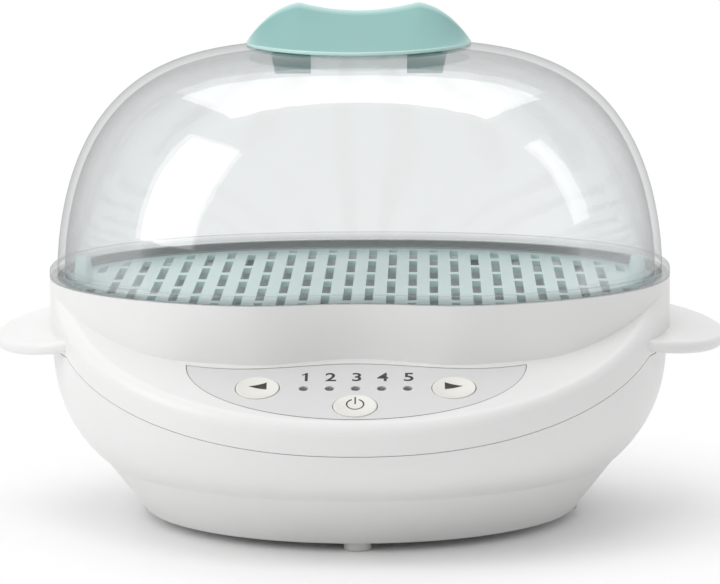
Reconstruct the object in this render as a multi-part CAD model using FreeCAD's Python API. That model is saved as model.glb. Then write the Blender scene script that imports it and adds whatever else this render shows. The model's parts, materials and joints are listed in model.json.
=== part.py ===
"""Countertop baby food maker: a steamer with a clear lid, a lift-out tray and a base with three buttons.

Millimetres, +Z up, front towards -Y. The model is laid out around the upright axis of the water well,
and moved at the end so that the origin is under the middle of the whole object, on the counter.
"""
import FreeCAD
import Part
import math
import os

V = FreeCAD.Vector
X_AXIS = V(1, 0, 0)
Y_AXIS = V(0, 1, 0)
Z_AXIS = V(0, 0, 1)

# Plan of the band, the tub and the lid: an oval a little fuller than an ellipse
ELLIPSE = 2.0
PLAN_FULLNESS = 2.22
PLAN_POINTS = 48

# Band: the upright wall that carries the lid, dented in front, where it also leans back towards its foot
BAND_HALF_WIDTH = 110.5
BAND_HALF_DEPTH = 91.0
BAND_TOP_Z = 86.0
BAND_FOOT_Z = 65.0
DENT_DEPTH = 9.3
DENT_HALF_WIDTH = 45.0
LEAN_DEPTH = 6.2
LEAN_HALF_WIDTH = 40.0
LEAN_FADE = 35.0
WALL = 2.5

# Tub: round foot, crease, then a bulge that reaches furthest at the front
BASE_Z = 2.9
BASE_RADIUS = 77.5
CREASE_Z = 20.9
CREASE_HALF_WIDTH = 91.4
CREASE_FRONT = 95.0
CREASE_BACK = 86.0
BODY_FULL_Z = 66.0
BODY_HALF_WIDTH = 109.3
BODY_FRONT = 119.5
BODY_BACK = 90.6
BODY_TOP_Z = 84.0
BODY_STEPS = (0.0, 0.14, 0.3, 0.5, 0.75, 1.0)
SIDE_BULGE = 2.5
FRONT_BULGE = 4.5

# Ledge: sloping shelf in front of the band, with the parting line parallel to it
LEDGE_TILT = 20.0
LEDGE_Y = -80.5
LEDGE_Z = 65.0
LEDGE_WALL = 4.5
LEDGE_ROUND = 4.5
LEDGE_BACK_Y = -6.0
SKIRT_HEIGHT = 11.5
PARTING_Z = 63.5
PARTING_GAP = 0.3

# Ears at the two sides
EAR_REACH = 130.0
EAR_CENTRE_X = 100.0
EAR_HALF_LENGTH = 53.0
EAR_THICKNESS = 4.2
EAR_ROUND = 1.6
EAR_DROOP = 7.0

# Clear lid
LID_GAP = 0.1
DOME_HALF_WIDTH = 107.6
DOME_HALF_DEPTH = 88.1
DOME_TOP_Z = 168.2
DOME_RISE_POWER = 2.1
DOME_SPREAD_POWER = 3.8
DOME_WALL = 2.6
DOME_STEPS = (0, 15, 30, 45, 60, 72, 80, 86)
FLANGE_THICKNESS = 3.0
FLANGE_ROUND = 0.8
LIP_DROP = 2.3
LIP_WALL = 1.8
LIP_CLEARANCE = 0.5

# Pinch handle on the lid
HANDLE_RADIUS = 40.8
HANDLE_SUNK = 5.2
HANDLE_RISE = 22.85
SADDLE_LIFT = 11.8
SADDLE_RADIUS = 88.8
SCOOP_RADIUS = 26.0
SCOOP_Y = 34.2
SCOOP_LIFT = 25.3
HANDLE_ROUND = 1.2
HANDLE_SEAT_GAP = 0.2
LEG_CENTRE_X = 23.4
LEG_WIDTH = 12.6
LEG_DEPTH = 4.0
LEG_DROP = 10.9
LEG_ROOT = 4.0
LEG_CLEARANCE = 0.3
BARB_REACH = 1.5
BARB_DROP = 1.2

# Steam tray
SEAT_Z = 79.0
SEAT_WIDTH = 3.5
SEAT_THICKNESS = 2.5
WELL_FLANGE = 2.0
TRAY_THICKNESS = 2.0
TRAY_CLEARANCE = 0.6
SLOT_WIDTH = 3.0
SLOT_PITCH = 7.55
SLOT_LENGTH = 30.0
SLOT_RIB = 6.0
SLOT_RIM = 5.0
TAB_X = 99.0
TAB_THICKNESS = 5.0
TAB_LENGTH = 22.0
TAB_HEIGHT = 9.0
TAB_ROUND = 1.6

# Water well and heater
FIT = 0.3
WELL_RADIUS = 68.0
WELL_FLOOR_Z = 58.0
WELL_WALL = 2.0
PLATE_OPENING = 46.5
PLATE_CLEARANCE = 1.0
PLATE_RIM = 53.0
PLATE_RIM_THICKNESS = 2.0
PLATE_RISE = 3.0
GASKET_THICKNESS = 2.0
GASKET_OUTER = 52.0
PLATE_SCREW_CIRCLE = 57.0
PLATE_SCREW_ANGLES = (0.0, 120.0, 240.0)
PLATE_EAR_RADIUS = 5.0
ELEMENT_RADIUS = 34.0
ELEMENT_TUBE = 3.2
ELEMENT_SWEEP = 310.0
ELEMENT_TAIL = 10.0
ELEMENT_PIN_RADIUS = 1.6
ELEMENT_PIN = 8.0
THERMOSTAT_RADIUS = 8.0
THERMOSTAT_HEIGHT = 11.0
THERMOSTAT_CAP = 3.7
BLADE_THICKNESS = 0.8
BLADE_WIDTH = 6.3
BLADE_LENGTH = 8.0
FUSE_RADIUS = 2.2
FUSE_LENGTH = 11.0
FUSE_Y = 19.0
FUSE_WIRE = 0.5
FUSE_WIRE_LENGTH = 4.0
FUSE_CLIP = 0.6
FUSE_CLIP_WIDTH = 6.0
FUSE_CLIP_LENGTH = 16.0
LUG_THICKNESS = 1.0
LUG_SCREW_X = 11.2

# Screws and posts
POST_CIRCLE = 60.0
POST_ANGLES = (45.0, 135.0, 225.0, 315.0)
POST_RADIUS = 4.5
POST_TOP_Z = 46.0
SCREW_RADIUS = 1.6
SCREW_CLEARANCE = 0.2
SCREW_HEAD_RADIUS = 3.0
SCREW_HEAD = 2.2
SCREW_SUNK = 2.0
SCREW_BITE = 8.4
HEAD_ROUND = 0.4
THREAD_CLEARANCE = 0.05
SMALL_SCREW_RADIUS = 1.2
SMALL_HEAD_RADIUS = 2.4
SMALL_HEAD = 1.3

# Floor of the tub, service cover and feet
FLOOR_THICKNESS = 4.5
COVER_RADIUS = 54.0
COVER_THICKNESS = 1.8
COVER_OPENING = 45.0
COVER_SCREW_CIRCLE = 49.5
COVER_SCREW_ANGLES = (45.0, 135.0, 225.0, 315.0)
VENT_COUNT = 3
VENT_START_X = 33.0
VENT_PITCH = 4.5
VENT_WIDTH = 2.4
VENT_LENGTH = 20.0
FOOT_CIRCLE = 73.0
FOOT_RADIUS = 4.7
FOOT_STEM_RADIUS = 2.0
FOOT_STEM = 3.0
FOOT_ROUND = 0.6
FOOT_NAMES = {0.0: "right", 90.0: "back", 180.0: "left", 270.0: "front"}

# Control panel, on the plane of the ledge: u to the right, v up the slope
PANEL_HALF_WIDTH = 57.5
PANEL_DROP = 37.3
PANEL_TOP_V = 0.5
PANEL_WAVE_U = 38.0
PANEL_WAVE_V = -2.3
PANEL_MIDDLE_V = 1.2
PANEL_THICKNESS = 1.6
PANEL_RECESS = 0.2
PANEL_GAP = 0.3
BUTTON_RADIUS = 7.3
BUTTON_CLEARANCE = 0.3
BUTTON_PROUD = 0.9
BUTTON_DISH = 1.1
BUTTON_ROUND = 0.6
BUTTON_COLLAR = 8.6
BUTTON_COLLAR_THICKNESS = 1.0
BUTTON_TRAVEL = 0.8
BUTTON_SIDE_U = 33.0
BUTTON_SIDE_V = -15.2
BUTTON_POWER_V = -27.5
PLUNGER_RADIUS = 1.75
PLUNGER_CLEARANCE = 0.1
PLUNGER_SHOW = 1.0
PLUNGER_SUNK = 0.6
SWITCH_SIZE = 6.0
SWITCH_HEIGHT = 3.6
LED_COUNT = 5
LED_PITCH = 8.75
LED_V = -15.5
LED_RADIUS = 1.5
LED_CLEARANCE = 0.1
LED_LENGTH = 5.0
LED_LEG = 0.6
BOARD_THICKNESS = 1.6
BOARD_EDGE = 3.4
BOARD_ABOVE_LEDS = 8.5
BOARD_BELOW_POWER = 6.0
BOARD_FOOT_HALF_WIDTH = 24.0
BOARD_POST_RADIUS = 3.0
BOARD_POST_GAP = 0.5
BOARD_LOWER_POST_U = 19.0

# Power board on the service cover, and the inlet bush
POWER_BOARD_WIDTH = 56.0
POWER_BOARD_DEPTH = 44.0
POWER_POST = 9.0
POWER_POST_RADIUS = 3.0
POWER_POST_INSET = 4.0
RELAY_SIZE = (19.0, 15.5, 15.8)
RELAY_PLACE = (-12.0, 8.0)
CAPACITOR_SIZE = (18.0, 9.0, 15.0)
CAPACITOR_PLACE = (11.0, 12.0)
TERMINAL_SIZE = (20.0, 9.0, 11.0)
TERMINAL_PLACE = (0.0, -12.0)
TERMINAL_PITCH = 10.0
TERMINAL_WELL = 2.0
TERMINAL_DEPTH = 5.5
BLOCK_ROUND = 0.8
GLAND_Z = 32.0
GLAND_BORE = 3.4
GLAND_RADIUS = 5.5
GLAND_FLANGE_RADIUS = 7.5
GLAND_FLANGE = 1.6
GLAND_LENGTH = 9.0
PAD_RADIUS = 9.5
PAD_PROUD = 0.5

FAR = 200.0
OVERSHOOT = 1.0
TINY = 0.01

# Heights and depths that follow from the values above
FLANGE_Z = BAND_TOP_Z + LID_GAP
HANDLE_Z = DOME_TOP_Z - HANDLE_SUNK
LEG_BOTTOM_Z = DOME_TOP_Z - LEG_DROP
TRAY_Z = SEAT_Z + WELL_FLANGE
TRAY_TOP_Z = TRAY_Z + TRAY_THICKNESS
GASKET_Z = WELL_FLOOR_Z - GASKET_THICKNESS
PLATE_Z = GASKET_Z - PLATE_RIM_THICKNESS
FLOOR_TOP_Z = BASE_Z + FLOOR_THICKNESS
COVER_TOP_Z = BASE_Z + COVER_THICKNESS
SCREW_SEAT_Z = BASE_Z + SCREW_HEAD + SCREW_SUNK
POWER_BOARD_Z = COVER_TOP_Z + POWER_POST
POWER_BOARD_TOP_Z = POWER_BOARD_Z + BOARD_THICKNESS
SMALL_CLEAR_RADIUS = SMALL_SCREW_RADIUS + SCREW_CLEARANCE
SMALL_THREAD_RADIUS = SMALL_SCREW_RADIUS + THREAD_CLEARANCE
SLOPE = math.tan(math.radians(LEDGE_TILT))
MIDDLE_Y = (BODY_FRONT - BAND_HALF_DEPTH) / 2
SWITCH_TOP = -(LEDGE_WALL + BUTTON_CLEARANCE + BUTTON_COLLAR_THICKNESS + PLUNGER_SHOW)
BOARD_TOP = SWITCH_TOP - SWITCH_HEIGHT
BUTTON_PLACES = {
    "left": (-BUTTON_SIDE_U, BUTTON_SIDE_V),
    "right": (BUTTON_SIDE_U, BUTTON_SIDE_V),
    "power": (0.0, BUTTON_POWER_V),
}
LED_PLACES = [((i - (LED_COUNT - 1) / 2) * LED_PITCH, LED_V) for i in range(LED_COUNT)]
BOARD_UPPER_POST_U = BUTTON_SIDE_U + BUTTON_COLLAR + BOARD_POST_GAP + BOARD_POST_RADIUS
BOARD_SCREW_PLACES = [
    (side * u, v)
    for side in (-1, 1)
    for u, v in ((BOARD_UPPER_POST_U, BUTTON_SIDE_V), (BOARD_LOWER_POST_U, BUTTON_POWER_V))
]
POWER_SCREW_PLACES = [
    (sx * (POWER_BOARD_WIDTH / 2 - POWER_POST_INSET), sy * (POWER_BOARD_DEPTH / 2 - POWER_POST_INSET))
    for sx in (-1, 1)
    for sy in (-1, 1)
]
LEDGE_FRAME = FreeCAD.Placement(V(0, LEDGE_Y, LEDGE_Z), FreeCAD.Rotation(X_AXIS, LEDGE_TILT))


def front_shift(x, dent, lean):
    """How far the front wall is pushed back at x: a dent in the middle, and a lean that fades to the sides."""
    shift = 0.0
    if abs(x) < DENT_HALF_WIDTH:
        shift += dent * math.cos(math.pi * x / (2 * DENT_HALF_WIDTH)) ** 2
    fade = min(1.0, max(0.0, abs(x) - LEAN_HALF_WIDTH) / LEAN_FADE)
    return shift + lean * math.cos(math.pi * fade / 2) ** 2


def plan_point(angle, half_width, front, back, dent=0.0, lean=0.0, fullness=ELLIPSE):
    """Point of the plan at an angle: an oval with its own front and back, its front wall shifted."""
    power = ELLIPSE / fullness
    across, along = math.cos(angle), math.sin(angle)
    x = math.copysign(abs(across) ** power, across) * half_width
    y = math.copysign(abs(along) ** power, along) * (front if along < 0 else back)
    return (x, y + front_shift(x, dent, lean)) if along < 0 else (x, y)


def plan_wire(z, *form):
    """Closed smooth outline of the plan at height z."""
    points = [V(*plan_point(2 * math.pi * i / PLAN_POINTS, *form), z) for i in range(PLAN_POINTS)]
    curve = Part.BSplineCurve()
    curve.interpolate(Points=points, PeriodicFlag=True)
    return Part.Wire(curve.toShape())


def round_wire(z, radius):
    return plan_wire(z, radius, radius, radius)


def disc(radius, z_from, z_to, x=0.0, y=0.0):
    return Part.makeCylinder(radius, z_to - z_from, V(x, y, z_from))


def ring(outer, inner, z_from, z_to):
    return disc(outer, z_from, z_to).cut(disc(inner, z_from - OVERSHOOT, z_to + OVERSHOOT))


def polar(radius, degrees):
    return radius * math.cos(math.radians(degrees)), radius * math.sin(math.radians(degrees))


def prism(points, direction):
    """Straight extrusion of a closed polygon."""
    return Part.Face(Part.makePolygon(points + [points[0]])).extrude(direction)


def on_ledge(shape):
    """Move a shape drawn around the origin on to the sloping plane of the ledge."""
    shape.Placement = LEDGE_FRAME.multiply(shape.Placement)
    return shape


def merged(first, *others):
    return first.fuse(list(others)).removeSplitter()


def band_form(z, inset):
    """Plan of the band at height z, drawn in by inset."""
    lean = LEAN_DEPTH * max(0.0, BAND_TOP_Z - z) / (BAND_TOP_Z - BAND_FOOT_Z)
    depth = BAND_HALF_DEPTH - inset
    return BAND_HALF_WIDTH - inset, depth, depth, DENT_DEPTH, lean, PLAN_FULLNESS


def band_wire(z, inset):
    return plan_wire(z, *band_form(z, inset))


def band_solid(inset, z_from, z_to):
    return Part.makeLoft([band_wire(z_from, inset), band_wire(z_to, inset)], True)


def band_ring(inset_outer, inset_inner, z_from, z_to):
    outer = band_solid(inset_outer, z_from, z_to)
    return outer.cut(band_solid(inset_inner, z_from - OVERSHOOT, z_to + OVERSHOOT))


def body_wire(z, inset):
    """Outline of the tub between the crease and the ledge; the bulge eases in from the crease."""
    share = min(1.0, (z - CREASE_Z) / (BODY_FULL_Z - CREASE_Z))
    side = 1 - (1 - share) ** SIDE_BULGE
    fore = 1 - (1 - share) ** FRONT_BULGE
    half_width = CREASE_HALF_WIDTH + (BODY_HALF_WIDTH - CREASE_HALF_WIDTH) * side
    front = CREASE_FRONT + (BODY_FRONT - CREASE_FRONT) * fore
    back = CREASE_BACK + (BODY_BACK - CREASE_BACK) * side
    fullness = ELLIPSE + (PLAN_FULLNESS - ELLIPSE) * side
    return plan_wire(z, half_width - inset, front - inset, back - inset, 0.0, 0.0, fullness)


def body_solid(inset):
    rise = BODY_FULL_Z - CREASE_Z
    levels = [CREASE_Z + rise * share for share in BODY_STEPS] + [BODY_TOP_Z]
    return Part.makeLoft([body_wire(z, inset) for z in levels], True)


def half_space_above_parting(lift):
    """Everything above the parting surface: level round the sides and back, then sloping down in front."""
    knee_y = LEDGE_Y + (PARTING_Z - LEDGE_Z + SKIRT_HEIGHT) / SLOPE
    front_y = -FAR
    front_z = PARTING_Z + (front_y - knee_y) * SLOPE
    outline = [(front_y, front_z), (knee_y, PARTING_Z), (FAR, PARTING_Z), (FAR, FAR), (front_y, FAR)]
    return prism([V(-FAR, y, z + lift) for y, z in outline], V(2 * FAR, 0, 0))


def half_space_above_ledge(drop):
    block = Part.makeBox(2 * FAR, 2 * FAR, FAR, V(-FAR, -FAR, -drop))
    return on_ledge(block)


def front_half():
    return Part.makeBox(2 * FAR, FAR + LEDGE_BACK_Y, 2 * FAR, V(-FAR, -FAR, -FAR))


def panel_outline(grow):
    """Inlay outline on the ledge plane: a half ellipse below, a wave that follows the band above."""
    half = PANEL_HALF_WIDTH + grow
    top = PANEL_TOP_V + grow
    ellipse = Part.Ellipse(V(0, top, 0), half, PANEL_DROP + 2 * grow)
    lower = Part.Arc(ellipse, math.pi, 2 * math.pi).toShape()
    wave = Part.BSplineCurve()
    wave.interpolate([
        V(half, top, 0),
        V(PANEL_WAVE_U, PANEL_WAVE_V + grow, 0),
        V(0, PANEL_MIDDLE_V + grow, 0),
        V(-PANEL_WAVE_U, PANEL_WAVE_V + grow, 0),
        V(-half, top, 0),
    ])
    return Part.Face(Part.Wire([lower, wave.toShape()]))


def panel_holes(top, bottom):
    """Round holes for the buttons and the lights, between two depths under the ledge plane."""
    holes = [
        disc(BUTTON_RADIUS + BUTTON_CLEARANCE, bottom, top, u, v) for u, v in BUTTON_PLACES.values()
    ]
    holes += [disc(LED_RADIUS + LED_CLEARANCE, bottom, top, u, v) for u, v in LED_PLACES]
    return holes


def ear(side):
    """Drooping half-oval tab with rounded edges."""
    outline = Part.Ellipse(V(0, 0, 0), EAR_HALF_LENGTH, EAR_REACH - EAR_CENTRE_X).toShape()
    outline.rotate(V(0, 0, 0), Z_AXIS, 90)
    tab = Part.Face(Part.Wire(outline)).extrude(V(0, 0, EAR_THICKNESS))
    rims = [e for e in tab.Edges if e.BoundBox.ZLength < TINY]
    tab = tab.makeFillet(EAR_ROUND, rims)
    tab.translate(V(EAR_CENTRE_X, 0, PARTING_Z + PARTING_GAP))
    tab.rotate(V(BODY_HALF_WIDTH + FIT, 0, PARTING_Z + PARTING_GAP), Y_AXIS, EAR_DROOP)
    return tab if side > 0 else tab.mirror(V(0, 0, 0), X_AXIS)


def ledge_solid():
    """The shelf under the control panel, with its front shoulder rounded."""
    shelf = body_solid(0.0).common(half_space_above_parting(PARTING_GAP))
    shelf = shelf.cut(half_space_above_ledge(0.0)).common(front_half())
    to_ledge = LEDGE_FRAME.inverse()
    shoulder = []
    for edge in shelf.Edges:
        middle = edge.valueAt((edge.FirstParameter + edge.LastParameter) / 2)
        flat = all(abs(to_ledge.multVec(v.Point).z) < TINY for v in edge.Vertexes)
        curved = edge.Curve.TypeId != "Part::GeomLine"
        if flat and curved and abs(to_ledge.multVec(middle).z) < TINY:
            shoulder.append(edge)
    return shelf.makeFillet(LEDGE_ROUND, shoulder)


def upper_housing():
    band = band_solid(0.0, PARTING_Z + PARTING_GAP, BAND_TOP_Z)
    outside = merged(band, ledge_solid(), ear(1), ear(-1))
    hollow = band_solid(WALL, PARTING_Z, BAND_TOP_Z)
    pocket = body_solid(WALL).cut(half_space_above_ledge(LEDGE_WALL)).common(front_half())
    shell = outside.cut(hollow).cut(pocket)
    seat = band_ring(WALL - FIT, WALL + SEAT_WIDTH, SEAT_Z - SEAT_THICKNESS, SEAT_Z)
    posts = []
    for u, v in BOARD_SCREW_PLACES:
        post = disc(BOARD_POST_RADIUS, BOARD_TOP, -LEDGE_WALL + FIT, u, v)
        posts.append(on_ledge(post))
    shell = merged(shell, seat, *posts)
    inlay = panel_outline(PANEL_GAP).extrude(V(0, 0, PANEL_THICKNESS + PANEL_RECESS + OVERSHOOT))
    inlay.translate(V(0, 0, -PANEL_THICKNESS - PANEL_RECESS))
    cuts = [inlay] + panel_holes(OVERSHOOT, -LEDGE_WALL - OVERSHOOT)
    for u, v in BOARD_SCREW_PLACES:
        cuts.append(disc(SMALL_THREAD_RADIUS, BOARD_TOP - OVERSHOOT, -LEDGE_WALL, u, v))
    return shell.cut([on_ledge(c) for c in cuts])


def skirt_solid(inset, z_from):
    """Lower, straight-sided part of the tub, from the foot up to the crease."""
    share = (z_from - BASE_Z) / (CREASE_Z - BASE_Z)
    half_width = BASE_RADIUS + (CREASE_HALF_WIDTH - BASE_RADIUS) * share - inset
    front = BASE_RADIUS + (CREASE_FRONT - BASE_RADIUS) * share - inset
    back = BASE_RADIUS + (CREASE_BACK - BASE_RADIUS) * share - inset
    foot = plan_wire(z_from, half_width, front, back)
    return Part.makeLoft([foot, body_wire(CREASE_Z, inset)], True, True)


def gland_pad_y():
    share = (GLAND_Z - CREASE_Z) / (BODY_FULL_Z - CREASE_Z)
    return CREASE_BACK + (BODY_BACK - CREASE_BACK) * (1 - (1 - share) ** SIDE_BULGE) + PAD_PROUD


def along_y(radius, y_from, y_to):
    return Part.makeCylinder(radius, y_to - y_from, V(0, y_from, GLAND_Z), Y_AXIS)


def lower_housing():
    outside = merged(skirt_solid(0.0, BASE_Z), body_solid(0.0))
    outside = outside.cut(half_space_above_parting(0.0))
    hollow = merged(skirt_solid(WALL, FLOOR_TOP_Z), body_solid(WALL))
    tub = outside.cut(hollow)
    pad_y = gland_pad_y()
    pad = along_y(PAD_RADIUS, pad_y - PAD_PROUD - 2 * WALL, pad_y)
    posts = [disc(POST_RADIUS, FLOOR_TOP_Z - FIT, POST_TOP_Z, *polar(POST_CIRCLE, a)) for a in POST_ANGLES]
    tub = merged(tub, pad, *posts)
    cuts = [
        disc(COVER_OPENING, BASE_Z - OVERSHOOT, FLOOR_TOP_Z + OVERSHOOT),
        disc(COVER_RADIUS + FIT, BASE_Z - OVERSHOOT, COVER_TOP_Z),
        along_y(GLAND_RADIUS, pad_y - GLAND_LENGTH - OVERSHOOT, pad_y + OVERSHOOT),
        along_y(GLAND_FLANGE_RADIUS + FIT, pad_y, pad_y + GLAND_LENGTH),
    ]
    for angle in POST_ANGLES:
        x, y = polar(POST_CIRCLE, angle)
        cuts.append(disc(SCREW_RADIUS + SCREW_CLEARANCE, BASE_Z - OVERSHOOT, POST_TOP_Z + OVERSHOOT, x, y))
        cuts.append(disc(SCREW_HEAD_RADIUS + FIT, BASE_Z - OVERSHOOT, SCREW_SEAT_Z, x, y))
    for angle in COVER_SCREW_ANGLES:
        x, y = polar(COVER_SCREW_CIRCLE, angle)
        cuts.append(disc(SMALL_THREAD_RADIUS, BASE_Z, FLOOR_TOP_Z + OVERSHOOT, x, y))
    for angle in FOOT_NAMES:
        x, y = polar(FOOT_CIRCLE, angle)
        cuts.append(disc(FOOT_STEM_RADIUS + THREAD_CLEARANCE, BASE_Z - OVERSHOOT, BASE_Z + FOOT_STEM, x, y))
    return tub.cut(cuts)


def foot(angle):
    x, y = polar(FOOT_CIRCLE, angle)
    pad = disc(FOOT_RADIUS, 0.0, BASE_Z, x, y)
    pad = pad.makeFillet(FOOT_ROUND, [e for e in pad.Edges if e.BoundBox.ZMax < TINY])
    return merged(pad, disc(FOOT_STEM_RADIUS, BASE_Z - FIT, BASE_Z + FOOT_STEM, x, y))


def screw(radius, head_radius, head, tip_z, seat_z, x, y):
    """Pan-head screw pointing up, with its head under seat_z."""
    top = disc(head_radius, seat_z - head, seat_z, x, y)
    top = top.makeFillet(HEAD_ROUND, [e for e in top.Edges if e.BoundBox.ZMax < seat_z - head + TINY])
    return merged(top, disc(radius, seat_z - FIT, tip_z, x, y))


def housing_screws():
    tip_z = POST_TOP_Z + SCREW_BITE
    return Part.makeCompound([
        screw(SCREW_RADIUS, SCREW_HEAD_RADIUS, SCREW_HEAD, tip_z, SCREW_SEAT_Z, *polar(POST_CIRCLE, a))
        for a in POST_ANGLES
    ])


def vent(x):
    """Round-ended slot through the service cover, along Y."""
    half = (VENT_LENGTH - VENT_WIDTH) / 2
    height = COVER_THICKNESS + 2 * OVERSHOOT
    corner = V(x - VENT_WIDTH / 2, -half, BASE_Z - OVERSHOOT)
    ends = [Part.makeCylinder(VENT_WIDTH / 2, height, V(x, y, corner.z)) for y in (-half, half)]
    return merged(Part.makeBox(VENT_WIDTH, 2 * half, height, corner), *ends)


def bottom_cover():
    """Service cover: a round plate with vents, sunk screw holes and posts for the power board."""
    cover = disc(COVER_RADIUS, BASE_Z, COVER_TOP_Z)
    posts = [
        disc(POWER_POST_RADIUS, COVER_TOP_Z - FIT, POWER_BOARD_Z, x, y) for x, y in POWER_SCREW_PLACES
    ]
    cover = merged(cover, *posts)
    cuts = []
    for angle in COVER_SCREW_ANGLES:
        x, y = polar(COVER_SCREW_CIRCLE, angle)
        cuts.append(disc(SMALL_CLEAR_RADIUS, BASE_Z - OVERSHOOT, COVER_TOP_Z + OVERSHOOT, x, y))
        cuts.append(disc(SMALL_HEAD_RADIUS + FIT, BASE_Z - OVERSHOOT, BASE_Z + SMALL_HEAD, x, y))
    for i in range(VENT_COUNT):
        x = VENT_START_X + i * VENT_PITCH
        cuts += [vent(-x), vent(x)]
    for x, y in POWER_SCREW_PLACES:
        cuts.append(disc(SMALL_THREAD_RADIUS, COVER_TOP_Z, POWER_BOARD_Z + OVERSHOOT, x, y))
    return cover.cut(cuts)


def cover_screws():
    return Part.makeCompound([
        screw(SMALL_SCREW_RADIUS, SMALL_HEAD_RADIUS, SMALL_HEAD, FLOOR_TOP_Z, BASE_Z + SMALL_HEAD,
              *polar(COVER_SCREW_CIRCLE, a))
        for a in COVER_SCREW_ANGLES
    ])


def water_well():
    """Inner moulding: oval at the rim, round at the floor, with bosses for the housing screws."""
    top_inset = WALL + SEAT_WIDTH + FIT
    outside = Part.makeLoft([round_wire(WELL_FLOOR_Z, WELL_RADIUS), band_wire(SEAT_Z, top_inset)], True)
    flange = band_solid(WALL + FIT, SEAT_Z, TRAY_Z)
    bosses = [
        disc(POST_RADIUS, POST_TOP_Z, WELL_FLOOR_Z + FIT, *polar(POST_CIRCLE, a)) for a in POST_ANGLES
    ]
    for angle in PLATE_SCREW_ANGLES:
        bosses.append(disc(POST_RADIUS, PLATE_Z + PLATE_RIM_THICKNESS, WELL_FLOOR_Z + FIT,
                           *polar(PLATE_SCREW_CIRCLE, angle)))
    floor_z = WELL_FLOOR_Z + WELL_WALL
    inside = Part.makeLoft([
        round_wire(floor_z, WELL_RADIUS - WELL_WALL),
        band_wire(TRAY_Z + OVERSHOOT, top_inset + WELL_WALL),
    ], True)
    well = merged(outside, flange, *bosses).cut(inside)
    cuts = [disc(PLATE_OPENING, WELL_FLOOR_Z - OVERSHOOT, floor_z + OVERSHOOT)]
    for angle in POST_ANGLES:
        cuts.append(disc(SCREW_RADIUS + THREAD_CLEARANCE, POST_TOP_Z - OVERSHOOT, WELL_FLOOR_Z - FIT,
                         *polar(POST_CIRCLE, angle)))
    for angle in PLATE_SCREW_ANGLES:
        cuts.append(disc(SMALL_THREAD_RADIUS, PLATE_Z, WELL_FLOOR_Z + WELL_WALL / 2,
                         *polar(PLATE_SCREW_CIRCLE, angle)))
    return well.cut(cuts)


def heating_plate():
    """Cast plate: a rim under the gasket, three screw ears and a raised face in the well."""
    rim = disc(PLATE_RIM, PLATE_Z, GASKET_Z)
    ears = [
        disc(PLATE_EAR_RADIUS, PLATE_Z, GASKET_Z, *polar(PLATE_SCREW_CIRCLE, a)) for a in PLATE_SCREW_ANGLES
    ]
    face_z = WELL_FLOOR_Z + PLATE_RISE - GASKET_THICKNESS
    face = disc(PLATE_OPENING - PLATE_CLEARANCE, PLATE_Z, face_z)
    face = face.makeFillet(PLATE_CLEARANCE, [e for e in face.Edges if e.BoundBox.ZMin > face_z - TINY])
    holes = [
        disc(SMALL_CLEAR_RADIUS, PLATE_Z - OVERSHOOT, GASKET_Z + OVERSHOOT,
             *polar(PLATE_SCREW_CIRCLE, a))
        for a in PLATE_SCREW_ANGLES
    ]
    return merged(rim, face, *ears).cut(holes)


def plate_screws():
    return Part.makeCompound([
        screw(SMALL_SCREW_RADIUS, SMALL_HEAD_RADIUS, SMALL_HEAD, WELL_FLOOR_Z, PLATE_Z,
              *polar(PLATE_SCREW_CIRCLE, a))
        for a in PLATE_SCREW_ANGLES
    ])


def plate_gasket():
    return ring(GASKET_OUTER, PLATE_OPENING, GASKET_Z, WELL_FLOOR_Z)


def heating_element():
    """Sheathed tube bent into an open ring against the plate, with its two ends turned down."""
    centre = V(0, 0, PLATE_Z - ELEMENT_TUBE)
    tube = Part.makeTorus(ELEMENT_RADIUS, ELEMENT_TUBE, centre, Z_AXIS, -180, 180, ELEMENT_SWEEP)
    tube.rotate(V(0, 0, 0), Z_AXIS, 90 + (360 - ELEMENT_SWEEP) / 2)
    tails = []
    for side in (-1, 1):
        x, y = polar(ELEMENT_RADIUS, 90 + side * (360 - ELEMENT_SWEEP) / 2)
        tails.append(Part.makeSphere(ELEMENT_TUBE, V(x, y, centre.z)))
        tails.append(disc(ELEMENT_TUBE, centre.z - ELEMENT_TAIL, centre.z, x, y))
        tail_z = centre.z - ELEMENT_TAIL
        tails.append(disc(ELEMENT_PIN_RADIUS, tail_z - ELEMENT_PIN, tail_z + FIT, x, y))
    return merged(tube, *tails)


def thermostat():
    """Snap-disc thermostat: metal cap against the plate, moulded body, two blades and two screw lugs."""
    cap = disc(THERMOSTAT_RADIUS, PLATE_Z - THERMOSTAT_CAP, PLATE_Z)
    body = disc(THERMOSTAT_RADIUS - FIT, PLATE_Z - THERMOSTAT_HEIGHT, PLATE_Z - THERMOSTAT_CAP)
    lug_reach = LUG_SCREW_X + SMALL_HEAD_RADIUS
    lug = Part.makeBox(2 * lug_reach, THERMOSTAT_RADIUS, LUG_THICKNESS,
                       V(-lug_reach, -THERMOSTAT_RADIUS / 2, PLATE_Z - LUG_THICKNESS))
    blades = [
        Part.makeBox(BLADE_THICKNESS, BLADE_WIDTH, BLADE_LENGTH,
                     V((side * THERMOSTAT_RADIUS - BLADE_THICKNESS) / 2, -BLADE_WIDTH / 2,
                       PLATE_Z - THERMOSTAT_HEIGHT - BLADE_LENGTH))
        for side in (-1, 1)
    ]
    holes = [
        disc(SMALL_CLEAR_RADIUS, PLATE_Z - LUG_THICKNESS - OVERSHOOT, PLATE_Z + OVERSHOOT,
             side * LUG_SCREW_X)
        for side in (-1, 1)
    ]
    return merged(cap, body, lug, *blades).cut(holes)


def thermostat_screws():
    return Part.makeCompound([
        screw(SMALL_SCREW_RADIUS, SMALL_HEAD_RADIUS, SMALL_HEAD, PLATE_Z, PLATE_Z - LUG_THICKNESS,
              side * LUG_SCREW_X, 0.0)
        for side in (-1, 1)
    ])


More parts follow.
